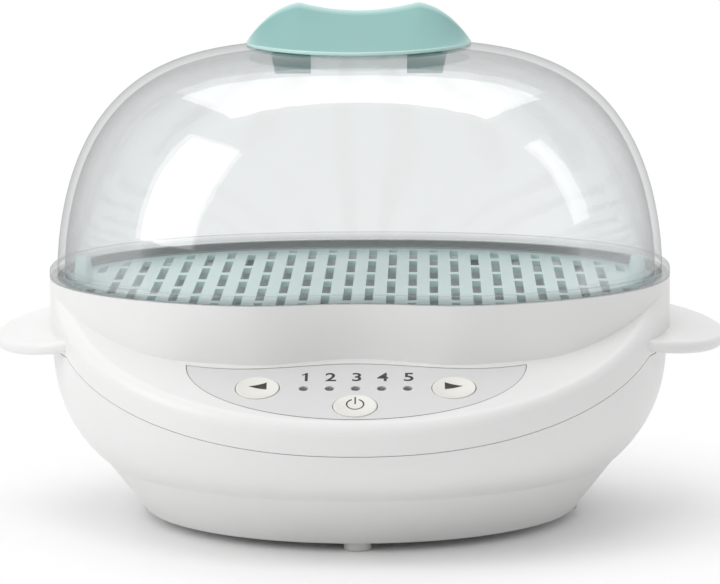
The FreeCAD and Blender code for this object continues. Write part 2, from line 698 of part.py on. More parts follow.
def thermal_fuse():
    """Small round cut-out lying along Y under the plate, with a wire stub at each end."""
    z = PLATE_Z - FUSE_CLIP - FUSE_RADIUS
    can = Part.makeCylinder(FUSE_RADIUS, FUSE_LENGTH, V(0, FUSE_Y - FUSE_LENGTH / 2, z), Y_AXIS)
    reach = FUSE_LENGTH / 2 + FUSE_WIRE_LENGTH
    wire = Part.makeCylinder(FUSE_WIRE, 2 * reach, V(0, FUSE_Y - reach, z), Y_AXIS)
    return merged(can, wire)


def fuse_clip():
    """Spring strap round the fuse, held flat against the plate."""
    z = PLATE_Z - FUSE_CLIP - FUSE_RADIUS
    outer = FUSE_RADIUS + FUSE_CLIP
    start = V(0, FUSE_Y - FUSE_CLIP_WIDTH / 2, z)
    band = Part.makeCylinder(outer, FUSE_CLIP_WIDTH, start, Y_AXIS)
    strap_start = start + V(-FUSE_CLIP_LENGTH / 2, 0, FUSE_RADIUS)
    strap = Part.makeBox(FUSE_CLIP_LENGTH, FUSE_CLIP_WIDTH, FUSE_CLIP, strap_start)
    bore = Part.makeCylinder(FUSE_RADIUS, FUSE_CLIP_WIDTH, start, Y_AXIS)
    return merged(band, strap).cut(bore)


def dome_wires(inset):
    """Outlines from the rim to the crown; the dent fades as they climb."""
    rise = DOME_TOP_Z - inset - FLANGE_Z
    wires = []
    for degrees in DOME_STEPS:
        climb = math.sin(math.radians(degrees)) ** (2.0 / DOME_RISE_POWER)
        spread = math.cos(math.radians(degrees)) ** (2.0 / DOME_SPREAD_POWER)
        depth = (DOME_HALF_DEPTH - inset) * spread
        half_width = (DOME_HALF_WIDTH - inset) * spread
        dent = DENT_DEPTH * (1 - climb) ** 2
        fullness = ELLIPSE + (PLAN_FULLNESS - ELLIPSE) * (1 - climb)
        wires.append(plan_wire(FLANGE_Z + rise * climb, half_width, depth, depth, dent, 0.0, fullness))
    return wires


def dome_solid(inset):
    return Part.makeLoft(dome_wires(inset), True)


def leg_slots():
    slot = Part.makeBox(LEG_WIDTH + 2 * LEG_CLEARANCE, LEG_DEPTH + 2 * LEG_CLEARANCE, 2 * HANDLE_RISE)
    slot.translate(V(-LEG_WIDTH / 2 - LEG_CLEARANCE, -LEG_DEPTH / 2 - LEG_CLEARANCE, LEG_BOTTOM_Z))
    return [slot.translated(V(side * LEG_CENTRE_X, 0, 0)) for side in (-1, 1)]


def dome_lid():
    """Clear dome with a flat flange on the band and a short lip inside it."""
    flange = band_solid(0.0, FLANGE_Z, FLANGE_Z + FLANGE_THICKNESS)
    flange = flange.makeFillet(FLANGE_ROUND, [e for e in flange.Edges if e.BoundBox.ZLength < TINY])
    lip_inset = WALL + LIP_CLEARANCE
    lip = band_ring(lip_inset, lip_inset + LIP_WALL, FLANGE_Z - LIP_DROP, FLANGE_Z + FIT)
    shell = merged(flange, dome_solid(0.0))
    hollow = dome_solid(DOME_WALL)
    return merged(shell.cut(hollow), lip).cut(leg_slots())


def lid_handle():
    """Pinch knob: a turned bell with a saddle on top and a finger scoop in front and behind."""
    foot_point = V(0, 0, HANDLE_Z)
    rim_point = V(HANDLE_RADIUS, 0, HANDLE_Z)
    crown_point = V(0, 0, HANDLE_Z + HANDLE_RISE)
    bow = Part.Arc(Part.Ellipse(rim_point, crown_point, foot_point), 0, math.pi / 2).toShape()
    profile = Part.Wire([Part.makeLine(foot_point, rim_point), bow, Part.makeLine(crown_point, foot_point)])
    bell = Part.Face(profile).revolve(V(0, 0, 0), Z_AXIS, 360)
    saddle_z = DOME_TOP_Z + SADDLE_LIFT + SADDLE_RADIUS
    saddle = Part.makeCylinder(SADDLE_RADIUS, 2 * FAR, V(0, -FAR, saddle_z), Y_AXIS)
    scoops = [
        Part.makeCylinder(SCOOP_RADIUS, 2 * FAR, V(-FAR, side * SCOOP_Y, DOME_TOP_Z + SCOOP_LIFT), X_AXIS)
        for side in (-1, 1)
    ]
    knob = bell.cut([saddle] + scoops)
    knob = knob.makeFillet(HANDLE_ROUND, [e for e in knob.Edges if e.BoundBox.ZMin > HANDLE_Z + OVERSHOOT])
    knob = knob.cut(dome_solid(0.0).translated(V(0, 0, HANDLE_SEAT_GAP)))
    root_z = DOME_TOP_Z + LEG_ROOT
    barb_z = DOME_TOP_Z - DOME_WALL - BARB_DROP
    legs = []
    for side in (-1, 1):
        inner = side * (LEG_CENTRE_X - LEG_WIDTH / 2)
        outer = side * (LEG_CENTRE_X + LEG_WIDTH / 2)
        outline = [
            (inner, root_z), (inner, LEG_BOTTOM_Z), (outer, LEG_BOTTOM_Z),
            (outer + side * BARB_REACH, barb_z), (outer, barb_z), (outer, root_z),
        ]
        legs.append(prism([V(x, -LEG_DEPTH / 2, z) for x, z in outline], V(0, LEG_DEPTH, 0)))
    return merged(knob, *legs)


def slot_field():
    """Where the tray may be slotted: inside its rim and clear of the lift tabs."""
    z_from = TRAY_Z - OVERSHOOT
    z_to = TRAY_TOP_Z + OVERSHOOT
    field = band_solid(WALL + TRAY_CLEARANCE + SLOT_RIM, z_from, z_to)
    width = TAB_THICKNESS + 2 * SLOT_RIM
    length = TAB_LENGTH + 2 * SLOT_RIM
    for side in (-1, 1):
        corner = V(side * TAB_X - width / 2, -length / 2, z_from)
        field = field.cut(Part.makeBox(width, length, z_to - z_from, corner))
    return field


def steam_tray():
    """Flat oval tray with columns of slots along Y, staggered from one column to the next."""
    height = TRAY_THICKNESS + 2 * OVERSHOOT
    step = SLOT_LENGTH + SLOT_RIB
    rows = math.ceil(BAND_HALF_DEPTH / step)
    boxes = []
    for column in range(math.ceil(BAND_HALF_WIDTH / SLOT_PITCH)):
        x = (column + 0.5) * SLOT_PITCH
        shift = step / 2 if column % 2 else 0.0
        for row in range(-rows, rows + 1):
            y = row * step + shift - SLOT_LENGTH / 2
            for middle in (-x, x):
                corner = V(middle - SLOT_WIDTH / 2, y, TRAY_Z - OVERSHOOT)
                boxes.append(Part.makeBox(SLOT_WIDTH, SLOT_LENGTH, height, corner))
    smallest = SLOT_WIDTH ** 2 * height
    slots = [slot for slot in slot_field().common(boxes).Solids if slot.Volume > smallest]
    return band_solid(WALL + TRAY_CLEARANCE, TRAY_Z, TRAY_TOP_Z).cut(slots)


def tray_tab(side):
    """Upright finger tab with a rounded back, standing on the end of the tray."""
    half = TAB_LENGTH / 2
    foot_z = TRAY_TOP_Z
    top = V(0, 0, foot_z + TAB_HEIGHT)
    arch = Part.Wire([
        Part.makeLine(V(0, -half, foot_z), V(0, half, foot_z)),
        Part.Arc(V(0, half, foot_z), top, V(0, -half, foot_z)).toShape(),
    ])
    tab = Part.Face(arch).extrude(V(TAB_THICKNESS, 0, 0))
    tab = tab.makeFillet(TAB_ROUND, [e for e in tab.Edges if e.BoundBox.ZLength > OVERSHOOT])
    tab.translate(V(TAB_X - TAB_THICKNESS / 2, 0, 0))
    return tab if side > 0 else tab.mirror(V(0, 0, 0), X_AXIS)


def control_panel():
    inlay = panel_outline(0.0).extrude(V(0, 0, -PANEL_THICKNESS))
    inlay.translate(V(0, 0, -PANEL_RECESS))
    return on_ledge(inlay.cut(panel_holes(OVERSHOOT, -LEDGE_WALL - OVERSHOOT)))


def button(name):
    """Dished cap with a collar that catches under the ledge."""
    u, v = BUTTON_PLACES[name]
    collar_z = -LEDGE_WALL - BUTTON_CLEARANCE
    cap = disc(BUTTON_RADIUS, collar_z, BUTTON_PROUD)
    cap = cap.makeFillet(BUTTON_ROUND, [e for e in cap.Edges if e.BoundBox.ZMin > BUTTON_PROUD - TINY])
    rim = BUTTON_RADIUS - 2 * BUTTON_ROUND
    dish_radius = (rim ** 2 + BUTTON_DISH ** 2) / (2 * BUTTON_DISH)
    cap = cap.cut(Part.makeSphere(dish_radius, V(0, 0, BUTTON_PROUD - BUTTON_DISH + dish_radius)))
    collar = disc(BUTTON_COLLAR, collar_z - BUTTON_COLLAR_THICKNESS, collar_z)
    whole = merged(cap, collar)
    whole.translate(V(u, v, 0))
    return on_ledge(whole)


def plunger(name):
    u, v = BUTTON_PLACES[name]
    return on_ledge(disc(PLUNGER_RADIUS, SWITCH_TOP - PLUNGER_SUNK, SWITCH_TOP + PLUNGER_SHOW, u, v))


def tact_switches():
    switches = []
    for u, v in BUTTON_PLACES.values():
        corner = V(u - SWITCH_SIZE / 2, v - SWITCH_SIZE / 2, BOARD_TOP)
        body = Part.makeBox(SWITCH_SIZE, SWITCH_SIZE, SWITCH_HEIGHT, corner)
        depth = PLUNGER_SUNK + BUTTON_TRAVEL + FIT
        bore = disc(PLUNGER_RADIUS + PLUNGER_CLEARANCE, SWITCH_TOP - depth, SWITCH_TOP + OVERSHOOT, u, v)
        switches.append(on_ledge(body.cut(bore)))
    return Part.makeCompound(switches)


def indicator_leds():
    """Five small round lamps on leads, their domes just below the face of the panel."""
    lamps = []
    for u, v in LED_PLACES:
        top = -PANEL_RECESS - LED_CLEARANCE
        shoulder = top - LED_RADIUS
        lamp = disc(LED_RADIUS, top - LED_LENGTH, shoulder, u, v)
        dome = Part.makeSphere(LED_RADIUS, V(u, v, shoulder))
        leads = [
            Part.makeBox(LED_LEG, LED_LEG, top - LED_LENGTH + FIT - BOARD_TOP,
                         V(u + side * LED_RADIUS / 2 - LED_LEG / 2, v - LED_LEG / 2, BOARD_TOP))
            for side in (-1, 1)
        ]
        lamps.append(on_ledge(merged(lamp, dome, *leads)))
    return Part.makeCompound(lamps)


def control_board():
    """Circuit board under the ledge, with its front corners clipped to clear the curve of the tub."""
    underside = BOARD_TOP - BOARD_THICKNESS
    half = BOARD_UPPER_POST_U + BOARD_EDGE
    outline = [
        (half, LED_V + BOARD_ABOVE_LEDS), (-half, LED_V + BOARD_ABOVE_LEDS),
        (-half, BUTTON_SIDE_V - BOARD_EDGE), (-BOARD_FOOT_HALF_WIDTH, BUTTON_POWER_V - BOARD_BELOW_POWER),
        (BOARD_FOOT_HALF_WIDTH, BUTTON_POWER_V - BOARD_BELOW_POWER), (half, BUTTON_SIDE_V - BOARD_EDGE),
    ]
    board = prism([V(u, v, underside) for u, v in outline], V(0, 0, BOARD_THICKNESS))
    holes = [
        disc(SMALL_CLEAR_RADIUS, underside - OVERSHOOT, BOARD_TOP + OVERSHOOT, u, v)
        for u, v in BOARD_SCREW_PLACES
    ]
    return on_ledge(board.cut(holes))


def board_screws():
    tip = -LEDGE_WALL - FIT
    seat = BOARD_TOP - BOARD_THICKNESS
    return Part.makeCompound([
        on_ledge(screw(SMALL_SCREW_RADIUS, SMALL_HEAD_RADIUS, SMALL_HEAD, tip, seat, u, v))
        for u, v in BOARD_SCREW_PLACES
    ])


def power_board():
    corner = V(-POWER_BOARD_WIDTH / 2, -POWER_BOARD_DEPTH / 2, POWER_BOARD_Z)
    board = Part.makeBox(POWER_BOARD_WIDTH, POWER_BOARD_DEPTH, BOARD_THICKNESS, corner)
    holes = [
        disc(SMALL_CLEAR_RADIUS, POWER_BOARD_Z - OVERSHOOT, POWER_BOARD_TOP_Z + OVERSHOOT, x, y)
        for x, y in POWER_SCREW_PLACES
    ]
    return board.cut(holes)


def power_board_screws():
    """Screws that go down through the power board into the posts of the cover."""
    screws = []
    for x, y in POWER_SCREW_PLACES:
        one = screw(SMALL_SCREW_RADIUS, SMALL_HEAD_RADIUS, SMALL_HEAD, POWER_POST - FIT, 0.0, 0.0, 0.0)
        one.rotate(V(0, 0, 0), X_AXIS, 180)
        one.translate(V(x, y, POWER_BOARD_TOP_Z))
        screws.append(one)
    return Part.makeCompound(screws)


def board_block(size, place):
    """Rounded moulded case standing on the power board."""
    length, depth, height = size
    corner = V(place[0] - length / 2, place[1] - depth / 2, POWER_BOARD_TOP_Z)
    case = Part.makeBox(length, depth, height, corner)
    return case.makeFillet(BLOCK_ROUND, [e for e in case.Edges if e.BoundBox.ZLength > OVERSHOOT])


def terminal_block():
    block = board_block(TERMINAL_SIZE, TERMINAL_PLACE)
    top_z = POWER_BOARD_TOP_Z + TERMINAL_SIZE[2]
    wells = []
    for side in (-1, 1):
        x = TERMINAL_PLACE[0] + side * TERMINAL_PITCH / 2
        wells.append(disc(TERMINAL_WELL, top_z - TERMINAL_DEPTH, top_z + OVERSHOOT, x, TERMINAL_PLACE[1]))
    return block.cut(wells)


def cord_gland():
    """Flanged bush in the back wall, bored for the mains lead."""
    y = gland_pad_y()
    flange = along_y(GLAND_FLANGE_RADIUS, y, y + GLAND_FLANGE)
    bush = merged(along_y(GLAND_RADIUS, y - GLAND_LENGTH, y + FIT), flange)
    return bush.cut(along_y(GLAND_BORE, y - GLAND_LENGTH - OVERSHOOT, y + GLAND_FLANGE + OVERSHOOT))


def build_parts():
    parts = {
        "upper_housing": upper_housing(),
        "lower_housing": lower_housing(),
        "bottom_cover": bottom_cover(),
        "cover_screws": cover_screws(),
        "housing_screws": housing_screws(),
        "water_well": water_well(),
        "heating_plate": heating_plate(),
        "plate_gasket": plate_gasket(),
        "plate_screws": plate_screws(),
        "heating_element": heating_element(),
        "thermostat": thermostat(),
        "thermostat_screws": thermostat_screws(),
        "thermal_fuse": thermal_fuse(),
        "fuse_clip": fuse_clip(),
        "dome_lid": dome_lid(),
        "lid_handle": lid_handle(),
        "steam_tray": steam_tray(),
        "tray_tab_left": tray_tab(-1),
        "tray_tab_right": tray_tab(1),
        "control_panel": control_panel(),
        "control_board": control_board(),
        "board_screws": board_screws(),
        "tact_switches": tact_switches(),
        "indicator_leds": indicator_leds(),
        "power_board": power_board(),
        "power_board_screws": power_board_screws(),
        "relay": board_block(RELAY_SIZE, RELAY_PLACE),
        "capacitor": board_block(CAPACITOR_SIZE, CAPACITOR_PLACE),
        "terminal_block": terminal_block(),
        "cord_gland": cord_gland(),
    }
    for angle, name in FOOT_NAMES.items():
        parts["foot_" + name] = foot(angle)
    for name in BUTTON_PLACES:
        parts["button_" + name] = button(name)
        parts["plunger_" + name] = plunger(name)
    return parts


def main():
    os.makedirs("parts", exist_ok=True)
    for name, shape in build_parts().items():
        shape.translate(V(0, MIDDLE_Y, 0))
        shape.exportStep("parts/%s.step" % name)
        print(name, shape.isValid(), len(shape.Solids), round(shape.Volume))


main()
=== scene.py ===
# %% [markdown]
# # A countertop baby food maker
# The moulded shells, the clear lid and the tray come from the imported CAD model, so they are already the
# right shape and size. This lesson dresses them: it gives every surface a finish, models the small pieces
# that a CAD solid leaves plain, prints the signs on the inlay, and sets a small photo studio around the
# result.

# %% Load the frame
import json
import math

import bmesh
import bpy
from mathutils import Matrix, Vector
from mathutils.bvhtree import BVHTree

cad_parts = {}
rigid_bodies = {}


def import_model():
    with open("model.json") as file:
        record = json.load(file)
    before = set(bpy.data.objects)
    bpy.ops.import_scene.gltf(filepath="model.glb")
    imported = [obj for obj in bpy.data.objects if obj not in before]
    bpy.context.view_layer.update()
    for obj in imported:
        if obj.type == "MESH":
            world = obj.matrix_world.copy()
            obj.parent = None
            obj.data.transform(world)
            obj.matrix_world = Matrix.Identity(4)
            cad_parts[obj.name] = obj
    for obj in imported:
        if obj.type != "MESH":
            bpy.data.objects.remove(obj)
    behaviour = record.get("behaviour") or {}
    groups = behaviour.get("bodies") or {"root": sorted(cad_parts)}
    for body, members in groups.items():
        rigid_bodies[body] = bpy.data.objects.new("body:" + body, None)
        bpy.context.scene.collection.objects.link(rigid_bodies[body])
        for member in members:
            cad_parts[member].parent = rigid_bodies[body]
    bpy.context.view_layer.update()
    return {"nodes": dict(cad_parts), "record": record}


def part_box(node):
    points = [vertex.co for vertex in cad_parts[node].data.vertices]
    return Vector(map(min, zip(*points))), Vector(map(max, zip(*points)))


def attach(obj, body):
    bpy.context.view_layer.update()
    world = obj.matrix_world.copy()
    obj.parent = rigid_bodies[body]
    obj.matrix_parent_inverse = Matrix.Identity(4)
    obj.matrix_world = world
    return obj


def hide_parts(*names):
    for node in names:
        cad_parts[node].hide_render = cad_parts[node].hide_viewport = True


for leftover in list(bpy.data.objects):
    bpy.data.objects.remove(leftover)
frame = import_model()
nodes = frame["nodes"]
for plain in list(bpy.data.materials):
    bpy.data.materials.remove(plain)
MM = 0.001

# %% [markdown]
# ## Writing shaders as sums
# A finish is mostly arithmetic: a base value plus a little noise. Blender can do that with Math nodes wired
# by hand, but a long chain of them is hard to read. One small class wraps a socket instead, so that
# `0.3 + 0.1 * noise` adds the nodes, and its `add` method makes every other kind of node.

# %% A socket that understands arithmetic
NOISE_MIDDLE = 0.5
MIX_FIRST = 6
MIX_SECOND = 7
MIX_RESULT = 2


class Paint:
    """One socket of a shader tree. Arithmetic on it adds Math nodes."""

    def __init__(self, tree, socket=None):
        self.tree = tree
        self.socket = socket

    def add(self, kind, settings, sockets, output=0):
        """Add any node: its settings first, then the values or links of its sockets."""
        node = self.tree.nodes.new(kind)
        for name, setting in settings.items():
            setattr(node, name, setting)
        for key, value in sockets.items():
            if isinstance(value, Paint):
                self.tree.links.new(value.socket, node.inputs[key])
            else:
                node.inputs[key].default_value = value
        return Paint(self.tree, node.outputs[output] if node.outputs else None)

    def math(self, operation, first, second):
        return self.add("ShaderNodeMath", {"operation": operation}, {0: first, 1: second})

    def __add__(self, other):
        return self.math("ADD", self, other)

    __radd__ = __add__

    def __sub__(self, other):
        return self.math("SUBTRACT", self, other)

    def __rsub__(self, other):
        return self.math("SUBTRACT", other, self)

    def __mul__(self, other):
        return self.math("MULTIPLY", self, other)

    __rmul__ = __mul__

    def most(self, other):
        return self.math("MAXIMUM", self, other)

    def place(self):
        """Where the shaded point is on its own object."""
        return self.add("ShaderNodeTexCoord", {}, {}, "Object")

    def noise(self, size, detail=2.0):
        """Cloudy noise from 0 to 1 whose blotches are about size metres across."""
        return self.add("ShaderNodeTexNoise", {},
                        {"Vector": self.place(), "Scale": 1 / size, "Detail": detail})

    def sway(self, size, detail=2.0):
        """The same noise, centred on zero."""
        return self.noise(size, detail) - NOISE_MIDDLE

    def mix(self, factor, first, second):
        """Blend two colours; the node also mixes numbers, so its colour sockets go by place."""
        return self.add("ShaderNodeMix", {"data_type": "RGBA"},
                        {0: factor, MIX_FIRST: first, MIX_SECOND: second}, MIX_RESULT)

    def bump(self, height, strength, depth):
        return self.add("ShaderNodeBump", {}, {"Height": height, "Strength": strength, "Distance": depth})

    def surface(self, sockets):
        return self.add("ShaderNodeBsdfPrincipled", {}, sockets)


def material(name, make):
    """A new material whose surface is the shader that make returns."""
    made = bpy.data.materials.new(name)
    made.use_nodes = True
    made.node_tree.nodes.clear()
    start = Paint(made.node_tree)
    start.add("ShaderNodeOutputMaterial", {}, {"Surface": make(start)})
    print("finish:", name)
    return made


def tone(colour, share):
    """A colour made lighter or darker by a share of itself."""
    return (*(min(1.0, channel * share) for channel in colour), 1.0)


# %% [markdown]
# ## Moulded plastic
# The housing, the tray and the inlay are injection moulded. Up close such a part is never one flat colour:
# the steel mould leaves a fine even grain, the gloss changes a little where it was polished, and the colour
# drifts by a few percent. A plain grey value would look like a computer part, and a picture of plastic can't
# be used here, so three sizes of noise do it: blotches for colour, clouds for gloss and a very fine one for
# the grain.

# %% Moulded plastics
COLOUR_BLOTCH = 60 * MM
GLOSS_CLOUD = 12 * MM
CLOUD_DETAIL = 4.0
GLOSS_SWING = 0.1
MOULD_GRAIN = 0.45 * MM
GRAIN_DEPTH = 0.03 * MM
GRAIN_STRENGTH = 0.12


def moulded(name, colour, rough, drift=0.025, grain=GRAIN_STRENGTH):
    """Plastic from a mould: slight drift of colour and gloss, and a fine grain."""

    def make(paint):
        base = paint.mix(paint.noise(COLOUR_BLOTCH), tone(colour, 1 - drift), tone(colour, 1 + drift))
        gloss = rough + GLOSS_SWING * paint.sway(GLOSS_CLOUD, CLOUD_DETAIL)
        grained = paint.bump(paint.noise(MOULD_GRAIN), grain, GRAIN_DEPTH)
        return paint.surface({"Base Color": base, "Roughness": gloss, "Normal": grained})

    return material(name, make)


moulded("white_plastic", (0.83, 0.83, 0.825), 0.34)
moulded("aqua_plastic", (0.655, 0.83, 0.82), 0.32)
moulded("grey_inlay", (0.725, 0.725, 0.725), 0.46, drift=0.015, grain=0.2)
moulded("gland_plastic", (0.6, 0.6, 0.59), 0.55)
moulded("black_plastic", (0.03, 0.03, 0.03), 0.45, drift=0.1)
moulded("capacitor_case", (0.7, 0.5, 0.08), 0.4)
moulded("terminal_plastic", (0.1, 0.3, 0.16), 0.5)
moulded("lamp_plastic", (0.11, 0.11, 0.12), 0.2, drift=0.08)
moulded("board_laminate", (0.08, 0.28, 0.14), 0.3, drift=0.2, grain=0.3)
pearl_plastic = moulded("pearl_plastic", (0.86, 0.85, 0.80), 0.24, drift=0.03)
# painted shadow: this dark grey stands for the shade in the gap around the inlay, not for ink
painted_gap_shadow = moulded("painted_gap_shadow", (0.22, 0.22, 0.22), 0.5, drift=0.1)
sign_print = moulded("sign_print", (0.035, 0.036, 0.03), 0.5, drift=0.15)

# %% [markdown]
# ## Translucent teal
# The handle lets some light in, and its thin ridge, brim and tips catch the light, so they look paler than
# its thick middle. Light scattered under the skin could be computed, but it is slow and noisy for so small
# an effect. The handle's mesh carries a number instead, one where the plastic is thin and zero where it is
# thick, and the finish blends two colours by it: the paler teal is a painted glow and highlight.

# %% Teal plastic
TEAL = (0.205, 0.425, 0.405)
# painted glow and highlight: the paler teal of the ridge, the brim and the tips
TEAL_PAINTED_GLOW = (0.56, 0.80, 0.76, 1.0)
TEAL_DRIFT = 0.04
TEAL_ROUGH = 0.4
PAINTED_GLOW = "painted_glow"


def make_teal(paint):
    painted_glow = paint.add("ShaderNodeAttribute", {"attribute_name": PAINTED_GLOW}, {}, "Fac")
    body = paint.mix(paint.noise(COLOUR_BLOTCH), tone(TEAL, 1 - TEAL_DRIFT), tone(TEAL, 1 + TEAL_DRIFT))
    grained = paint.bump(paint.noise(MOULD_GRAIN), GRAIN_STRENGTH, GRAIN_DEPTH)
    gloss = TEAL_ROUGH + GLOSS_SWING * paint.sway(GLOSS_CLOUD, CLOUD_DETAIL)
    # the paler teal is blended in by the mesh's number: painted glow and highlight
    return paint.surface({"Base Color": paint.mix(painted_glow, body, TEAL_PAINTED_GLOW), "Roughness": gloss,
                          "Normal": grained})


teal_plastic = material("teal_plastic", make_teal)

# %% [markdown]
# ## Clear lid
# The lid is clear, stiff plastic about 2.6 mm thick. Real glass that bends light could be used, but so thin
# a wall hardly moves what is behind it, and bent light can't find the lamps, so everything under the lid
# would go dark. A film does better: each face of the wall lets sight through, takes a little of it away,
# more where it is seen edge on because there is more plastic in the way, and mirrors the soft boxes by
# Fresnel's rule. As the wall has two faces, the lid gets its double outline. The thick rim at the foot is
# greyer by its height, for the plastic in the way, and darkest at its lowest edge, as painted shade where
# the lid sits on the band. Faint handling marks make the mirror uneven.

# %% Clear plastic
WHITE = (1, 1, 1, 1)
CLEAR_PASS = (0.957, 0.962, 0.962, 1.0)
SMOKE_PASS = (0.46, 0.475, 0.48, 1.0)
FACING_BLEND = 0.5
EDGE_POWER = 4.2
RIM_FOOT = 86.3 * MM
RIM_TOP = 89.4 * MM
RIM_SMOKE_AND_SHADE = 0.45
CLEAR_BEND = 1.46
MIRROR_MOST = 0.30
MARK_SIZE = 25 * MM
MARK_DETAIL = 6.0
MARK_LEAST = 0.02
MARK_SWING = 0.04


def make_clear(paint):
    facing = paint.add("ShaderNodeLayerWeight", {}, {"Blend": FACING_BLEND}, "Facing")
    height = paint.add("ShaderNodeSeparateXYZ", {}, {0: paint.place()}, "Z")
    # the rim's grey is partly the plastic in the way and partly painted shade, darkest at the foot
    rim = paint.add("ShaderNodeMapRange", {}, {"Value": height, "From Min": RIM_TOP, "From Max": RIM_FOOT})
    edge = paint.math("POWER", facing, EDGE_POWER).most(RIM_SMOKE_AND_SHADE * rim)
    clear = paint.add("ShaderNodeBsdfTransparent", {}, {"Color": CLEAR_PASS})
    smoke = paint.add("ShaderNodeBsdfTransparent", {}, {"Color": SMOKE_PASS})
    through = paint.add("ShaderNodeMixShader", {}, {0: edge, 1: clear, 2: smoke})
    marks = MARK_LEAST + MARK_SWING * paint.noise(MARK_SIZE, MARK_DETAIL)
    mirror = paint.add("ShaderNodeBsdfGlossy", {}, {"Color": WHITE, "Roughness": marks})
    fresnel = paint.add("ShaderNodeFresnel", {}, {"IOR": CLEAR_BEND})
    mirrored = paint.math("MINIMUM", fresnel, MIRROR_MOST)
    return paint.add("ShaderNodeMixShader", {}, {0: mirrored, 1: through, 2: mirror})


material("clear_plastic", make_clear)

# %% [markdown]
# ## Rubber
# The feet and the gasket are rubber. It is dull, its colour is a little patchy, and its skin is coarser than
# that of moulded plastic. The same three noises do it, with larger shares.

# %% Rubber
RUBBER_BLOTCH = 8 * MM
RUBBER_DARK = 0.9
RUBBER_PALE = 1.08
RUBBER_ROUGH = 0.68
RUBBER_SWING = 0.15
RUBBER_CLOUD = 5 * MM
SKIN_SIZE = 0.8 * MM
SKIN_STRENGTH = 0.35
SKIN_DEPTH = 0.08 * MM


def rubber(name, colour):
    def make(paint):
        patches = paint.noise(RUBBER_BLOTCH, CLOUD_DETAIL)
        base = paint.mix(patches, tone(colour, RUBBER_DARK), tone(colour, RUBBER_PALE))
        skin = paint.bump(paint.noise(SKIN_SIZE, CLOUD_DETAIL), SKIN_STRENGTH, SKIN_DEPTH)
        gloss = RUBBER_ROUGH + RUBBER_SWING * paint.sway(RUBBER_CLOUD)
        return paint.surface({"Base Color": base, "Roughness": gloss, "Normal": skin})

    return material(name, make)


rubber("foot_rubber", (0.62, 0.62, 0.6))
rubber("seal_rubber", (0.45, 0.2, 0.16))

# %% [markdown]
# ## Streaked metal
# Sheet and screw metal is brushed or plated, so its colour and gloss are streaked. Scratches could be
# modelled, but they are far too fine. Noise does instead, once a Mapping node squeezes it more along some
# axes than along others.

# %% Streaked metals
STREAK_DETAIL = 3.0
STREAK_STRENGTH = 0.1
STREAK_DEPTH = 0.02 * MM
METAL_DARK = 0.86
METAL_PALE = 1.1
METAL_SWING = 0.18


def metal(name, colour, rough, stretch):
    """Metal with streaks: stretch is how the pattern is scaled along each axis, in 1/m."""

    def make(paint):
        along = paint.add("ShaderNodeMapping", {}, {"Vector": paint.place(), "Scale": stretch})
        streaks = paint.add("ShaderNodeTexNoise", {},
                            {"Vector": along, "Scale": 1.0, "Detail": STREAK_DETAIL})
        return paint.surface({
            "Base Color": paint.mix(streaks, tone(colour, METAL_DARK), tone(colour, METAL_PALE)),
            "Roughness": rough + METAL_SWING * (streaks - NOISE_MIDDLE),
            "Metallic": 1.0,
            "Normal": paint.bump(streaks, STREAK_STRENGTH, STREAK_DEPTH),
        })

    return material(name, make)


metal("element_sheath", (0.42, 0.41, 0.4), 0.45, (300, 300, 900))
metal("plated_steel", (0.62, 0.62, 0.63), 0.3, (400, 400, 2500))
metal("thermostat_shell", (0.66, 0.66, 0.67), 0.35, (300, 300, 2000))
metal("fuse_can", (0.72, 0.6, 0.36), 0.25, (200, 1500, 1500))

# %% [markdown]
# ## Turned plate
# The heating plate is turned on a lathe, which leaves fine rings around its middle. Grooves that fine would
# take far too many faces. A Wave texture set to rings makes them, and a Mapping node centres it on the plate.

# %% Turned aluminium
WELL_Y = sum(corner.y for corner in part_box("heating_plate")) / 2
WAVE_FACTOR = 1
RING_SCALE = 220.0
RING_WOBBLE = 0.4
RING_DETAIL = 2.0
RING_SWING = 0.12
RING_STRENGTH = 0.25
RING_DEPTH = 0.05 * MM
PLATE_BLOTCH = 9 * MM
PLATE_DETAIL = 5.0
PLATE_DARK = (0.62, 0.62, 0.63, 1)
PLATE_PALE = (0.78, 0.78, 0.79, 1)
PLATE_ROUGH = 0.3


def make_turned(paint):
    centred = paint.add("ShaderNodeMapping", {}, {"Vector": paint.place(), "Location": (0, -WELL_Y, 0)})
    rings = paint.add("ShaderNodeTexWave", {"wave_type": "RINGS", "rings_direction": "Z"},
                      {"Vector": centred, "Scale": RING_SCALE, "Distortion": RING_WOBBLE,
                       "Detail": RING_DETAIL}, WAVE_FACTOR)
    return paint.surface({
        "Base Color": paint.mix(paint.noise(PLATE_BLOTCH, PLATE_DETAIL), PLATE_DARK, PLATE_PALE),
        "Roughness": PLATE_ROUGH + RING_SWING * rings,
        "Metallic": 1.0,
        "Normal": paint.bump(rings, RING_STRENGTH, RING_DEPTH),
    })


material("cast_aluminium", make_turned)
print("middle of the plate at y =", round(WELL_Y / MM, 2), "mm")

# %% [markdown]
# ## Dressing the CAD nodes
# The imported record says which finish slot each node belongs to. The finishes above have the same names, so
# one loop puts each on its nodes.

# %% Dress every node
for subpart in frame["record"]["subparts"]:
    node = nodes[subpart["node"]]
    node.data.materials.clear()
    node.data.materials.append(bpy.data.materials[subpart["material_slot"]])

# %% [markdown]
# ## From bmesh to piece
# The small pieces that follow are drawn as a bmesh, and three helpers serve them: one turns a drawing into an
# object that rides on a body, one rounds sharp edges, as a mould does, and one picks the vertices out of what
# an operator returns. A Bevel modifier could round the edges too, but a bevel in the drawing keeps each
# piece's steps in one place.

# %% Pieces and their edges
BEVEL_SEGMENTS = 3


